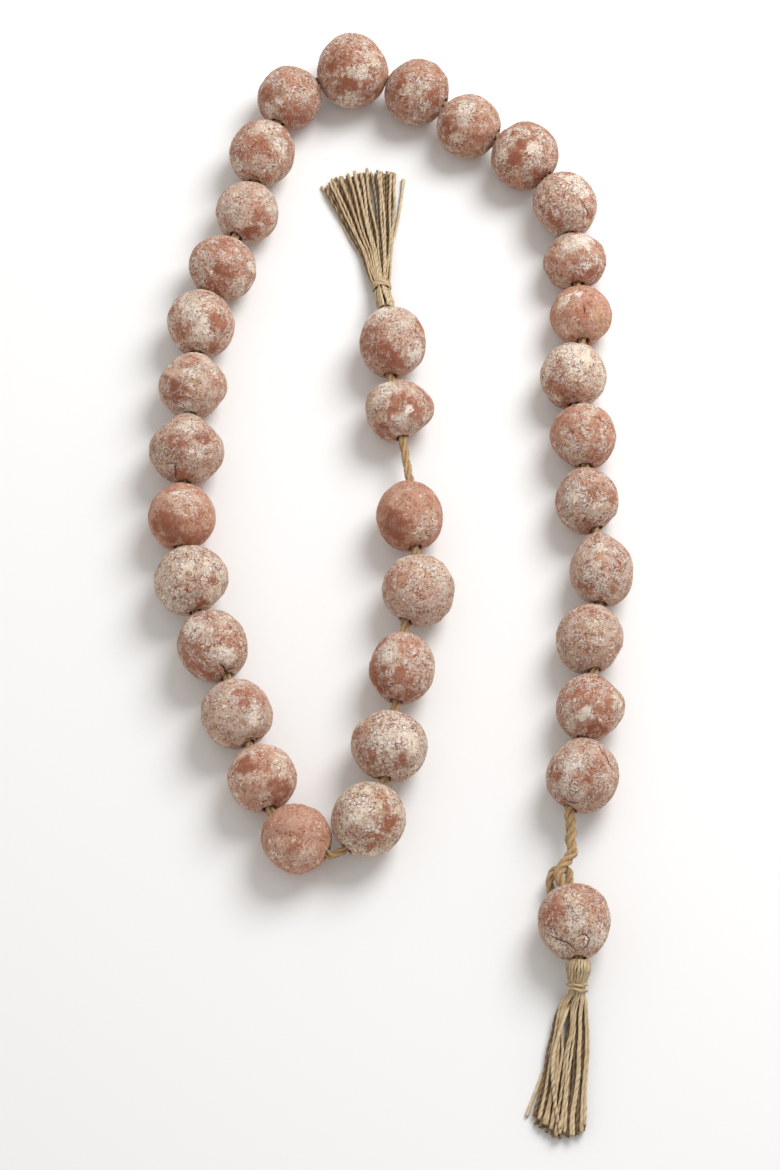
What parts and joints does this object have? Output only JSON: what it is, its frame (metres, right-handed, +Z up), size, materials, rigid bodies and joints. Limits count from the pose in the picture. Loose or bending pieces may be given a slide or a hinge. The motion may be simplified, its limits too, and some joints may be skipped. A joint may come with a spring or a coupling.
{
  "type": "ceramic bead garland",
  "caption": "Garland of uneven hand-formed clay beads with a worn whitewash, threaded on a jute cord with a bound jute tassel at each end, laid in an open loop.",
  "frame": {"origin": "middle of the garland's outline, on the table it lies on", "axes": "+Y along the longer way of the loop, towards the beads furthest from the viewer; +X to the viewer's right; +Z up from the table"},
  "size_m": [0.247, 0.607, 0.0376],
  "materials": {
    "clay": "matt fired clay under a thin worn whitewash",
    "jute": "dry laid jute, matt",
    "twine": "dry jute twine, matt"
  },
  "bodies": {
    "root": {"bead_01": "clay", "bead_02": "clay", "bead_03": "clay", "bead_04": "clay", "bead_05": "clay", "bead_06": "clay", "bead_07": "clay", "bead_08": "clay", "bead_09": "clay", "bead_10": "clay", "bead_11": "clay", "bead_12": "clay", "bead_13": "clay", "bead_14": "clay", "bead_15": "clay", "bead_16": "clay", "bead_17": "clay", "bead_18": "clay", "bead_19": "clay", "bead_20": "clay", "bead_21": "clay", "bead_22": "clay", "bead_23": "clay", "bead_24": "clay", "bead_25": "clay", "bead_26": "clay", "bead_27": "clay", "bead_28": "clay", "bead_29": "clay", "bead_30": "clay", "bead_31": "clay", "bead_32": "clay", "bead_33": "clay", "bead_34": "clay", "bead_35": "clay", "cord": "jute", "knot": "jute", "tassel_a": "jute", "tassel_b": "jute", "tassel_a_wrap": "twine", "tassel_b_wrap": "twine"}
  },
  "joints": []
}
